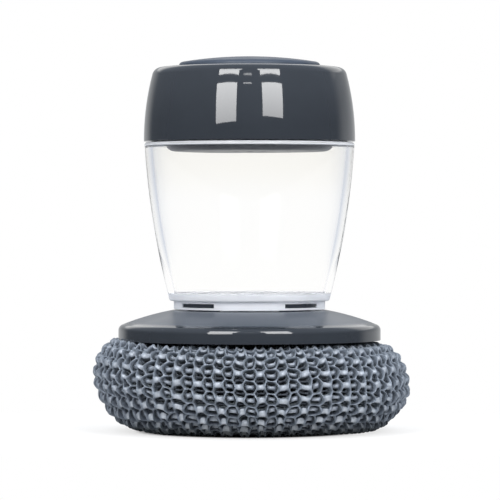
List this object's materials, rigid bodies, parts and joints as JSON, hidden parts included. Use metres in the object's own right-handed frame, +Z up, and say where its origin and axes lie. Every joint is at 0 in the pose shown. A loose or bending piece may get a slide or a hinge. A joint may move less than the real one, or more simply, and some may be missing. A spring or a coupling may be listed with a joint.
{
  "type": "soap-dispensing dish wand",
  "caption": "Palm-held dish wand: a press-button screw cap pumps soap from a clear barrel tank through a dark base disc into a flattened knitted scouring ball.",
  "frame": {"origin": "centre of the flat under the scouring ball, on the surface that the wand stands on", "axes": "+Z up along the wand's round axis, -Y towards the viewer of the picture"},
  "size_m": [0.085, 0.085, 0.1],
  "materials": {
    "slate_plastic": "glossy dark slate-grey moulded plastic",
    "button_plastic": "glossy dark slate-grey moulded plastic",
    "cup_plastic": "glossy dark slate-grey moulded plastic",
    "inner_plastic": "satin dark grey moulded plastic",
    "clear_plastic": "clear glossy moulded plastic",
    "silicone": "matt translucent silicone",
    "spring_steel": "drawn wire",
    "screw_steel": "zinc plated",
    "scouring_knit": "knitted flat ribbon with a metallic sheen",
    "tie_cord": "braided cord"
  },
  "bodies": {
    "tank": {"reservoir": "clear_plastic", "outlet_valve": "silicone", "valve_retainer": "clear_plastic", "base_cover": "slate_plastic", "foot_seal": "silicone", "socket_ring": "inner_plastic", "socket_screws": "screw_steel"},
    "cap_gasket": {"neck_gasket": "silicone"},
    "cap": {"cap_shell": "slate_plastic", "pump_cup": "cup_plastic", "pump_bellows": "silicone", "bellows_clamp": "inner_plastic", "button_spring": "spring_steel"},
    "button": {"press_button": "button_plastic"},
    "head_seal": {"hub_seal": "silicone"},
    "head": {"ball_carrier": "inner_plastic", "ball_retainer": "inner_plastic", "retainer_screws": "screw_steel", "scouring_ball": "scouring_knit", "ball_tie": "tie_cord"}
  },
  "joints": [
    {"name": "cap_lift", "type": "slide", "parent": "tank", "child": "cap_gasket", "axis": [0, 0, 1], "range_m": [0, 0.0056]},
    {"name": "cap_turn", "type": "hinge", "parent": "cap_gasket", "child": "cap", "pos_m": [0, 0, 0.086], "axis": [0, 0, 1], "range_deg": [0, 630]},
    {"name": "button_press", "type": "slide", "parent": "cap", "child": "button", "axis": [0, 0, -1], "range_m": [0, 0.005], "stiffness_N_per_m": 600, "springref_m": -0.003, "deforming": ["button_spring", "pump_bellows"]},
    {"name": "head_drop", "type": "slide", "parent": "tank", "child": "head_seal", "axis": [0, 0, -1], "range_m": [0, 0.0015]},
    {"name": "head_turn", "type": "hinge", "parent": "head_seal", "child": "head", "pos_m": [0, 0, 0.026], "axis": [0, 0, -1], "range_deg": [0, 60]}
  ],
  "couplings": [
    {"joint": "cap_lift", "follows": "cap_turn", "m_per_rad": 0.0005093},
    {"joint": "head_drop", "follows": "head_turn", "m_per_rad": 0.0014324}
  ]
}
